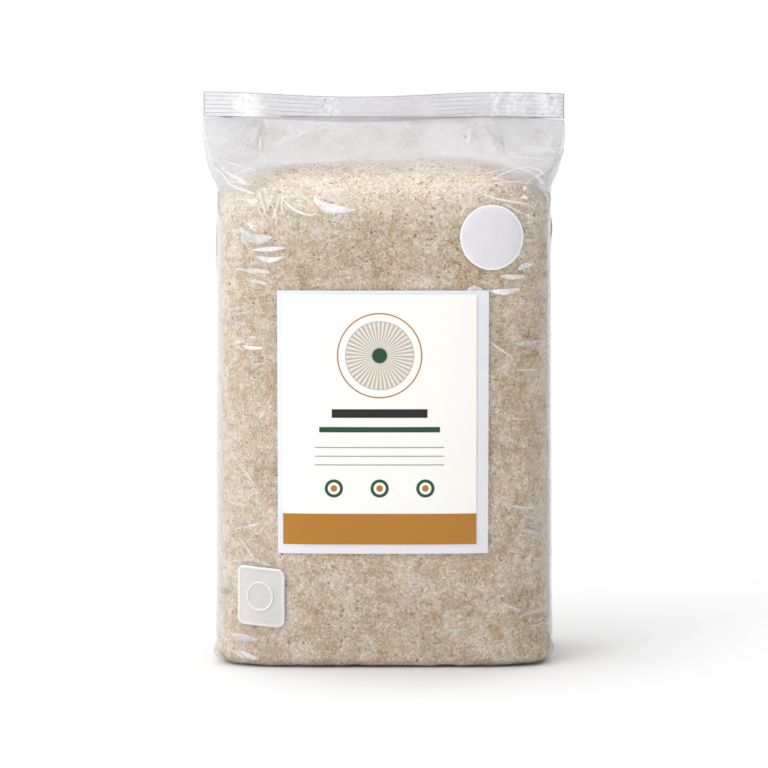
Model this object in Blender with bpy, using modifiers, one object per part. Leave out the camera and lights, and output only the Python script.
"""Mushroom grow bag: a clear side-gusseted film bag round a block of spawned substrate.

Metres, +Z up. The origin is the middle of the flat base, and the front with the label faces -Y.
The bag stands on its base, narrows over the block to a crimped seal, and tucks in at its sides there.
"""

import math

import bmesh
import bpy
from mathutils import Vector

MM = 0.001

# The filled bag, measured on the outside of its film
BAG_HALF_WIDTH = 83.75 * MM
NECK_HALF_WIDTH = 81.8 * MM
TAPER_Z = 20.0 * MM
BAG_HALF_DEPTH = 47.5 * MM
BELLY = 2.5 * MM
BELLY_TOP_Z = 219.0 * MM
EDGE_RADIUS = 7.0 * MM
LOW_SQUARENESS = 3.4
HIGH_SQUARENESS = 4.4
SEAL_SQUARENESS = 20.0
LAYERS_ON_FRONT = 1.5 * MM

# The headspace and the crimped seal above the block
SHOULDER_Z = 219.0 * MM
NECK_Z = 231.0 * MM
FLARE_Z = 264.0 * MM
HOLLOW_TOP_Z = 264.0 * MM
LAST_FILM_Z = 266.0 * MM
SEAL_Z = 267.0 * MM
SEAL_HALF_WIDTH = 89.3 * MM
SEAL_MOUTH_HALF_DEPTH = 2.0 * MM
SEAL_HEIGHT = 12.0 * MM
SEAL_RIBS = 6
RIB_CREST = 1.25 * MM
RIB_VALLEY = 0.85 * MM
SHOULDER_POWER = 1.4
WAVE_DEPTH = 2.0 * MM
WAVE_DEPTH_TURN = 2.4
WAVE_DEPTH_START = 0.5
WAVE_HEIGHT = 1.2 * MM
WAVE_HEIGHT_TURN = 1.2 * math.pi

# The side gussets, tucked in between the panels of the headspace
TUCK_DEPTH = 36.0 * MM
TUCK_FULL_Z = 254.0 * MM
TUCK_WALLS = 1.5 * MM
TUCK_NARROWEST = 0.5 * MM
TUCK_MOUTH_SHARE = 0.6
TUCK_STEPS = 3
SIDE_STEPS = 2
PANEL_STEPS = 7

# Walls and gaps
FILM_WALL = 0.6 * MM
GAP = 0.3 * MM
SIDE_AIR = 3.2 * MM

# The substrate block
DOME_Z = 215.0 * MM
DOME_TOP_Z = 248.0 * MM
DOME_DEPTH_POWER = 2.3
DOME_WIDTH_POWER = 3.5
DOME_LEAN = 1.8 * MM
DOME_TOP_SHARE = 0.993

# Filter patch over the vent hole
FILTER_RADIUS = 15.5 * MM
FILTER_X = 51.8 * MM
FILTER_Z = 209.0 * MM
FILTER_THICKNESS = 0.5 * MM
VENT_RADIUS = 10.5 * MM

# Injection port: a pad with a round rubber septum over a needle hole
PORT_X = -58.8 * MM
PORT_Z = 35.0 * MM
PORT_WIDTH = 25.5 * MM
PORT_HEIGHT = 28.3 * MM
PORT_CORNER = 2.5 * MM
PORT_THICKNESS = 0.8 * MM
PORT_TURN = math.radians(-3.5)
SEPTUM_X = -59.9 * MM
SEPTUM_RADIUS = 7.2 * MM
SEPTUM_RIM = 0.9 * MM
SEPTUM_RIM_HEIGHT = 0.9 * MM
SEPTUM_FACE_HEIGHT = 0.6 * MM
SEPTUM_RIM_SHOULDER = 0.6
SEPTUM_RIM_SLOPE = 0.3
NEEDLE_HOLE_RADIUS = 2.0 * MM
DRILL_LENGTH = 8.0 * MM

# Label: a backing sheet stuck to the film with a printed card on it
BACKING_WIDTH = 101.6 * MM
BACKING_HEIGHT = 127.0 * MM
BACKING_X = -0.5 * MM
BACKING_Z = 120.2 * MM
BACKING_THICKNESS = 0.4 * MM
CARD_WIDTH = 93.0 * MM
CARD_HEIGHT = 120.5 * MM
CARD_X = -2.1 * MM
CARD_Z = 121.5 * MM
CARD_THICKNESS = 0.5 * MM

EDGE_ROWS = 4
BODY_ROWS = 6
SHOULDER_ROWS = 10
DOME_ROWS = 8
ROUND_SEGMENTS = 32
CORNER_SEGMENTS = 4
FILTER_RINGS = 3
SHEET_COLUMNS = 10
SHEET_ROWS = 8
MERGE_DISTANCE = 0.01 * MM
SLOPE_STEP = 0.5 * MM
WRAP_STEPS = 16
SMOOTH_ANGLE = math.radians(35.0)


def clear_scene():
    """Remove every object that the file holds."""
    for scene_object in list(bpy.data.objects):
        bpy.data.objects.remove(scene_object, do_unlink=True)


def new_collection(name, hidden=False):
    """Add a collection to the scene."""
    collection = bpy.data.collections.new(name)
    collection.hide_render = hidden
    bpy.context.scene.collection.children.link(collection)
    return collection


def finish(name, colour, roughness, alpha=1.0):
    """A plain finish in the part's colour."""
    material = bpy.data.materials.new(name)
    material.use_nodes = True
    shader = material.node_tree.nodes["Principled BSDF"]
    shader.inputs["Base Color"].default_value = (*colour, 1.0)
    shader.inputs["Roughness"].default_value = roughness
    shader.inputs["Metallic"].default_value = 0.0
    shader.inputs["Alpha"].default_value = alpha
    material.diffuse_color = (*colour, alpha)
    return material


def smooth(start, end, value):
    """An S-shaped rise from 0 at start to 1 at end."""
    share = min(max((value - start) / (end - start), 0.0), 1.0)
    return share * share * (3.0 - 2.0 * share)


def spread(start, end, steps):
    """Evenly spaced numbers from start to end, both included."""
    return [start + (end - start) * step / steps for step in range(steps + 1)]


def edge_inset(z, radius):
    """How far the rounded base edge pulls the bag in at height z."""
    if z >= radius:
        return 0.0
    return radius - math.sqrt(radius**2 - (radius - z) ** 2)


def body_half_width(z):
    """Half the filled bag's width at height z, which narrows a little towards the neck."""
    return BAG_HALF_WIDTH + (NECK_HALF_WIDTH - BAG_HALF_WIDTH) * smooth(TAPER_Z, NECK_Z, z)


def half_width(z):
    """Half the film's width at height z, which flares from the neck to the seal."""
    share = min(max((z - NECK_Z) / (FLARE_Z - NECK_Z), 0.0), 1.0)
    flare = (SEAL_HALF_WIDTH - NECK_HALF_WIDTH) * math.sin(0.5 * math.pi * share)
    return body_half_width(z) + flare


def half_depth(z):
    """Half the bag's depth at height z, which closes from the shoulder to the seal."""
    share = min(max((z - SHOULDER_Z) / (SEAL_Z - SHOULDER_Z), 0.0), 1.0)
    open_share = (1.0 - share**2) ** SHOULDER_POWER
    return SEAL_MOUTH_HALF_DEPTH + (BAG_HALF_DEPTH - SEAL_MOUTH_HALF_DEPTH) * open_share


def belly(z):
    """How far the panels bulge at height z, at the middle of their width."""
    if not 0.0 < z < BELLY_TOP_Z:
        return 0.0
    return BELLY * math.sin(math.pi * z / BELLY_TOP_Z)


def squareness(z):
    """The power of the section's superellipse at height z: soft low down, sharp at the seal."""
    body = LOW_SQUARENESS + (HIGH_SQUARENESS - LOW_SQUARENESS) * smooth(0.0, DOME_Z, z)
    return body + (SEAL_SQUARENESS - body) * smooth(NECK_Z, SEAL_Z, z)


def tuck(z):
    """How deep the side gussets fold in at height z."""
    return TUCK_DEPTH * smooth(NECK_Z, TUCK_FULL_Z, z)


def tuck_mouth(z):
    """Half the opening of a gusset's fold at height z."""
    deep = half_depth(z)
    return min(max(deep - TUCK_WALLS, TUCK_NARROWEST), TUCK_MOUTH_SHARE * deep)


def section(wide, deep, bulge, power, fold=0.0, mouth_share=TUCK_MOUTH_SHARE):
    """One closed ring of (x, y) points: a superellipse with bulged panels and folded-in sides.

    The ring starts at the middle of the right side and runs through the back, so that point k
    and point -k lie opposite each other across the bag's middle plane.
    """
    corner = 2.0 ** (-1.0 / power)
    quarter = []
    folds = spread(0.0, mouth_share, TUCK_STEPS)[:-1]
    sides = spread(mouth_share, corner, SIDE_STEPS)[:-1]
    for share in folds + sides:
        across = (1.0 - share**power) ** (1.0 / power)
        inward = fold * max(0.0, 1.0 - share / mouth_share)
        quarter.append((wide * across - inward, deep * share + bulge * (1.0 - across**2)))
    for step in range(PANEL_STEPS, -1, -1):
        share = corner * math.sin(0.5 * math.pi * step / PANEL_STEPS)
        out = (1.0 - share**power) ** (1.0 / power)
        quarter.append((wide * share, deep * out + bulge * (1.0 - share**2)))
    back_left = [(-x, y) for x, y in reversed(quarter[:-1])]
    half = quarter + back_left
    front = [(x, -y) for x, y in reversed(half[1:-1])]
    return half + front


def wave(x, y, z):
    """A point of the headspace or seal, moved with the seal's gentle wave."""
    share = smooth(NECK_Z, SEAL_Z, z)
    along = x / SEAL_HALF_WIDTH
    y += WAVE_DEPTH * math.sin(WAVE_DEPTH_TURN * along + WAVE_DEPTH_START) * share
    z += WAVE_HEIGHT * math.cos(WAVE_HEIGHT_TURN * (along + 1.0)) * share
    return Vector((x, y + 0.5 * LAYERS_ON_FRONT, z))


def film_ring(z, inset):
    """The film's ring at height z, moved inwards by inset."""
    wide = half_width(z) - inset
    deep = half_depth(z) - inset
    fold = tuck(z)
    mouth = tuck_mouth(z)
    if fold > inset > 0.0:
        slope = math.atan2(mouth, fold)
        mouth = mouth * (1.0 - inset / fold) + inset / math.cos(slope)
        fold += inset / math.sin(slope) - inset
    ring = section(wide, deep, belly(z), squareness(z), fold, mouth / deep)
    return [wave(x, y, z) for x, y in ring]


def base_rings(inset, side_air=0.0):
    """The rings round the lower edge of the skin that lies inset within the film's outside."""
    radius = EDGE_RADIUS - inset
    rings = []
    for step in range(EDGE_ROWS):
        rise = radius * (1.0 - math.cos(0.5 * math.pi * step / EDGE_ROWS))
        pull = inset + edge_inset(rise, radius)
        z = rise + inset
        wide = BAG_HALF_WIDTH - side_air - pull
        ring = section(wide, BAG_HALF_DEPTH - pull, belly(z), squareness(z))
        rings.append([wave(x, y, z) for x, y in ring])
    return rings


def body_heights():
    """Heights of the rings from above the rounded base edge to the shoulder."""
    return spread(EDGE_RADIUS, SHOULDER_Z, BODY_ROWS)


def shoulder_heights():
    """Heights of the rings over the shoulder, up to just under the seal."""
    return spread(SHOULDER_Z, LAST_FILM_Z, SHOULDER_ROWS)[1:]


def seal_ring(z, half_thickness):
    """A flat ring of the seal band."""
    ring = section(SEAL_HALF_WIDTH, half_thickness, 0.0, SEAL_SQUARENESS)
    return [wave(x, y, z) for x, y in ring]


def seal_rings():
    """The rings of the seal band, which swell at each horizontal rib."""
    pitch = SEAL_HEIGHT / SEAL_RIBS
    rings = []
    for rib in range(SEAL_RIBS):
        rings.append(seal_ring(SEAL_Z + pitch * rib, RIB_VALLEY))
        rings.append(seal_ring(SEAL_Z + pitch * (rib + 0.5), RIB_CREST))
    rings.append(seal_ring(SEAL_Z + SEAL_HEIGHT, RIB_VALLEY))
    return rings


def loft(name, rings, collection):
    """A closed skin through rings of equal length, each end closed across the middle plane."""
    shape = bmesh.new()
    rows = [[shape.verts.new(point) for point in ring] for ring in rings]
    count = len(rows[0])
    for lower, upper in zip(rows, rows[1:]):
        for k in range(count):
            after = (k + 1) % count
            shape.faces.new((lower[k], lower[after], upper[after], upper[k]))
    side = TUCK_STEPS + SIDE_STEPS
    half = count // 2
    for row in (rows[0], rows[-1]):
        shape.faces.new([row[k] for k in range(-side, side + 1)])
        for k in range(side, half - side):
            shape.faces.new((row[k], row[k + 1], row[-(k + 1)], row[-k]))
        shape.faces.new([row[k] for k in range(half - side, half + side + 1)])
    bmesh.ops.recalc_face_normals(shape, faces=shape.faces)
    return add_object(name, shape, collection)


def add_object(name, shape, collection):
    """Turn a bmesh into a named object."""
    mesh = bpy.data.meshes.new(name)
    shape.to_mesh(mesh)
    shape.free()
    made = bpy.data.objects.new(name, mesh)
    collection.objects.link(made)
    return made


def dress(made, material):
    """Give an object its finish, and shade its round faces smooth."""
    made.data.materials.clear()
    made.data.materials.append(material)
    made.data.shade_smooth()
    made.data.set_sharp_from_angle(angle=SMOOTH_ANGLE)


def cut(made, cutter):
    """Cut one closed shape out of another."""
    cutter.hide_render = True
    cutter.display_type = "WIRE"
    boolean = made.modifiers.new(f"cut {cutter.name}", "BOOLEAN")
    boolean.operation = "DIFFERENCE"
    boolean.solver = "EXACT"
    boolean.object = cutter


def front_y(x, z):
    """Where the outside of the front film lies at (x, z)."""
    power = squareness(z)
    share = min(abs(x) / half_width(z), 1.0)
    out = (1.0 - share**power) ** (1.0 / power)
    reach = half_depth(z) * out + belly(z) * (1.0 - share**2)
    return wave(x, -reach, z).y


def front_normal(x, z):
    """The film's outward direction at (x, z) on the front."""
    across = front_y(x + SLOPE_STEP, z) - front_y(x - SLOPE_STEP, z)
    up = front_y(x, z + SLOPE_STEP) - front_y(x, z - SLOPE_STEP)
    run = 2.0 * SLOPE_STEP
    return Vector((across / run, -1.0, up / run)).normalized()


def wrap_x(x, run, z):
    """The x that a sheet reaches by lying on the front film for a distance run from x."""
    step = run / WRAP_STEPS
    for _ in range(WRAP_STEPS):
        slope = (front_y(x + SLOPE_STEP, z) - front_y(x - SLOPE_STEP, z)) / (2.0 * SLOPE_STEP)
        x += step / math.hypot(1.0, slope)
    return x


def lay_on_front(mesh, middle_x, middle_z, lift, turn=0.0):
    """Bend a flat shape, drawn in X and Z and thick towards -Y, onto the bag's front."""
    for vertex in mesh.vertices:
        flat = vertex.co
        right = flat.x * math.cos(turn) - flat.z * math.sin(turn)
        up = flat.x * math.sin(turn) + flat.z * math.cos(turn)
        z = middle_z + up
        x = wrap_x(middle_x, right, z)
        on_film = Vector((x, front_y(x, z), z))
        vertex.co = on_film + front_normal(x, z) * (lift - flat.y)
    mesh.update()


def flat_sheet(name, width, height, collection, corner=0.0):
    """A flat rectangular grid facing -Y, its corners rounded to the radius corner."""
    shape = bmesh.new()
    bmesh.ops.create_grid(shape, x_segments=SHEET_COLUMNS, y_segments=SHEET_ROWS, size=0.5)
    for vertex in shape.verts:
        vertex.co = Vector((vertex.co.x * width, 0.0, vertex.co.y * height))
    if corner > 0.0:
        corners = [v for v in shape.verts if len(v.link_edges) == 2]
        bmesh.ops.bevel(
            shape,
            geom=corners,
            offset=corner,
            segments=CORNER_SEGMENTS,
            profile=0.5,
            affect="VERTICES",
        )
    for face in shape.faces:
        face.normal_update()
        if face.normal.y > 0.0:
            face.normal_flip()
    return add_object(name, shape, collection)


def thicken(made, thickness):
    """Give an open sheet its thickness on the outside."""
    solidify = made.modifiers.new("sheet thickness", "SOLIDIFY")
    solidify.thickness = thickness
    solidify.offset = 1.0


def turned(name, profile, collection):
    """A round piece turned about its own Y axis from (radius, height) points, face towards -Y."""
    outline = bpy.data.meshes.new(f"{name} profile")
    points = [(radius, -height, 0.0) for radius, height in profile]
    edges = [(k, k + 1) for k in range(len(points) - 1)]
    outline.from_pydata(points, edges, [])
    guide = bpy.data.objects.new(f"{name} profile", outline)
    collection.objects.link(guide)
    screw = guide.modifiers.new("turn", "SCREW")
    screw.axis = "Y"
    screw.steps = ROUND_SEGMENTS
    screw.render_steps = ROUND_SEGMENTS
    screw.use_merge_vertices = True
    screw.merge_threshold = MERGE_DISTANCE
    graph = bpy.context.evaluated_depsgraph_get()
    mesh = bpy.data.meshes.new_from_object(guide.evaluated_get(graph))
    bpy.data.objects.remove(guide, do_unlink=True)
    shape = bmesh.new()
    shape.from_mesh(mesh)
    bmesh.ops.remove_doubles(shape, verts=shape.verts, dist=MERGE_DISTANCE)
    bmesh.ops.recalc_face_normals(shape, faces=shape.faces)
    bpy.data.meshes.remove(mesh)
    return add_object(name, shape, collection)


def drill(name, radius, x, z, collection):
    """A round cutter through the front film only, square to it."""
    shape = bmesh.new()
    bmesh.ops.create_cone(
        shape,
        cap_ends=True,
        segments=ROUND_SEGMENTS,
        radius1=radius,
        radius2=radius,
        depth=DRILL_LENGTH,
    )
    made = add_object(name, shape, collection)
    made.location = (x, front_y(x, z), z)
    made.rotation_mode = "QUATERNION"
    made.rotation_quaternion = front_normal(x, z).to_track_quat("Z", "Y")
    return made


def build_film(parts, cutters):
    """The bag: one film from its flat base to the crimped seal, hollow, with its two holes."""
    skin = base_rings(0.0)
    skin += [film_ring(z, 0.0) for z in body_heights() + shoulder_heights()]
    skin += seal_rings()
    film = loft("bag_film", skin, parts)

    hollow = base_rings(FILM_WALL)
    hollow += [film_ring(z, FILM_WALL) for z in body_heights() + shoulder_heights()[:-1]]
    closing = section(
        SEAL_HALF_WIDTH - TUCK_DEPTH - 2.0 * FILM_WALL,
        half_depth(HOLLOW_TOP_Z) - FILM_WALL,
        0.0,
        squareness(HOLLOW_TOP_Z),
    )
    hollow.append([wave(x, y, HOLLOW_TOP_Z) for x, y in closing])
    cut(film, loft("film_hollow", hollow, cutters))
    cut(film, drill("vent_hole", VENT_RADIUS, FILTER_X, FILTER_Z, cutters))
    cut(film, drill("needle_hole", NEEDLE_HOLE_RADIUS, SEPTUM_X, PORT_Z, cutters))
    dress(film, finish("clear film", (0.90, 0.91, 0.92), 0.12, alpha=0.3))


def block_half_width(z):
    """Half the block's width at height z, which rounds off over its shoulders."""
    share = max((z - DOME_Z) / (DOME_TOP_Z - DOME_Z), 0.0)
    round_off = (1.0 - share**DOME_WIDTH_POWER) ** (1.0 / DOME_WIDTH_POWER)
    return (body_half_width(z) - SIDE_AIR) * round_off


def block_half_depth(z):
    """Half the block's depth at height z, which rounds off to a crown."""
    share = max((z - DOME_Z) / (DOME_TOP_Z - DOME_Z), 0.0)
    round_off = (1.0 - share**DOME_DEPTH_POWER) ** (1.0 / DOME_DEPTH_POWER)
    return (BAG_HALF_DEPTH - FILM_WALL - GAP) * round_off


def block_ring(z):
    """The block's ring at height z, leaning a little up towards its right side at the crown."""
    power = squareness(min(z, DOME_Z))
    ring = section(block_half_width(z), block_half_depth(z), belly(z), power)
    lean = DOME_LEAN * smooth(DOME_Z, DOME_TOP_Z, z) / BAG_HALF_WIDTH
    return [Vector((x, y + 0.5 * LAYERS_ON_FRONT, z + lean * x)) for x, y in ring]


def build_block(parts):
    """The block of spawned substrate that fills the bag up to its domed top."""
    rings = base_rings(FILM_WALL + GAP, SIDE_AIR - FILM_WALL - GAP)
    rings += [block_ring(z) for z in spread(EDGE_RADIUS, DOME_Z, BODY_ROWS)]
    for step in range(1, DOME_ROWS + 1):
        share = DOME_TOP_SHARE * math.sin(0.5 * math.pi * step / DOME_ROWS)
        rings.append(block_ring(DOME_Z + (DOME_TOP_Z - DOME_Z) * share))
    block = loft("substrate_block", rings, parts)
    dress(block, finish("spawned substrate", (0.69, 0.61, 0.50), 0.95))


def build_filter(parts):
    """The round breathable patch welded over the vent hole."""
    radii = spread(0.0, FILTER_RADIUS, FILTER_RINGS)
    back = [(radius, 0.0) for radius in radii]
    face = [(radius, FILTER_THICKNESS) for radius in reversed(radii)]
    patch = turned("filter_patch", back + face, parts)
    lay_on_front(patch.data, FILTER_X, FILTER_Z, GAP)
    dress(patch, finish("filter sheet", (0.82, 0.81, 0.83), 0.9))


def build_port(parts):
    """The injection port: a square pad with rounded corners, and its round septum."""
    pad = flat_sheet("injection_port_pad", PORT_WIDTH, PORT_HEIGHT, parts, PORT_CORNER)
    lay_on_front(pad.data, PORT_X, PORT_Z, GAP, PORT_TURN)
    thicken(pad, PORT_THICKNESS)
    dress(pad, finish("port pad", (0.76, 0.75, 0.74), 0.55))

    inner = SEPTUM_RADIUS - SEPTUM_RIM
    profile = [
        (0.0, 0.0),
        (0.5 * inner, 0.0),
        (inner, 0.0),
        (SEPTUM_RADIUS, 0.0),
        (SEPTUM_RADIUS, SEPTUM_RIM_SHOULDER * SEPTUM_RIM_HEIGHT),
        (SEPTUM_RADIUS - SEPTUM_RIM_SLOPE * SEPTUM_RIM, SEPTUM_RIM_HEIGHT),
        (inner + SEPTUM_RIM_SLOPE * SEPTUM_RIM, SEPTUM_RIM_HEIGHT),
        (inner, SEPTUM_FACE_HEIGHT),
        (0.5 * inner, SEPTUM_FACE_HEIGHT),
        (0.0, SEPTUM_FACE_HEIGHT),
    ]
    septum = turned("injection_port_septum", profile, parts)
    lay_on_front(septum.data, SEPTUM_X, PORT_Z, GAP + PORT_THICKNESS + GAP)
    dress(septum, finish("port septum", (0.74, 0.73, 0.72), 0.5))


def build_label(parts):
    """The label: a white backing sheet on the film, and a smaller printed card on that."""
    backing = flat_sheet("label_backing", BACKING_WIDTH, BACKING_HEIGHT, parts)
    lay_on_front(backing.data, BACKING_X, BACKING_Z, GAP)
    thicken(backing, BACKING_THICKNESS)
    dress(backing, finish("backing sheet", (0.88, 0.89, 0.92), 0.6))

    card = flat_sheet("label_card", CARD_WIDTH, CARD_HEIGHT, parts)
    lay_on_front(card.data, CARD_X, CARD_Z, GAP + BACKING_THICKNESS + GAP)
    thicken(card, CARD_THICKNESS)
    dress(card, finish("printed card", (0.96, 0.95, 0.91), 0.5))


def main():
    """Build the grow bag."""
    clear_scene()
    parts = new_collection("mushroom grow bag")
    cutters = new_collection("cutters", hidden=True)
    build_film(parts, cutters)
    build_block(parts)
    build_filter(parts)
    build_port(parts)
    build_label(parts)


main()
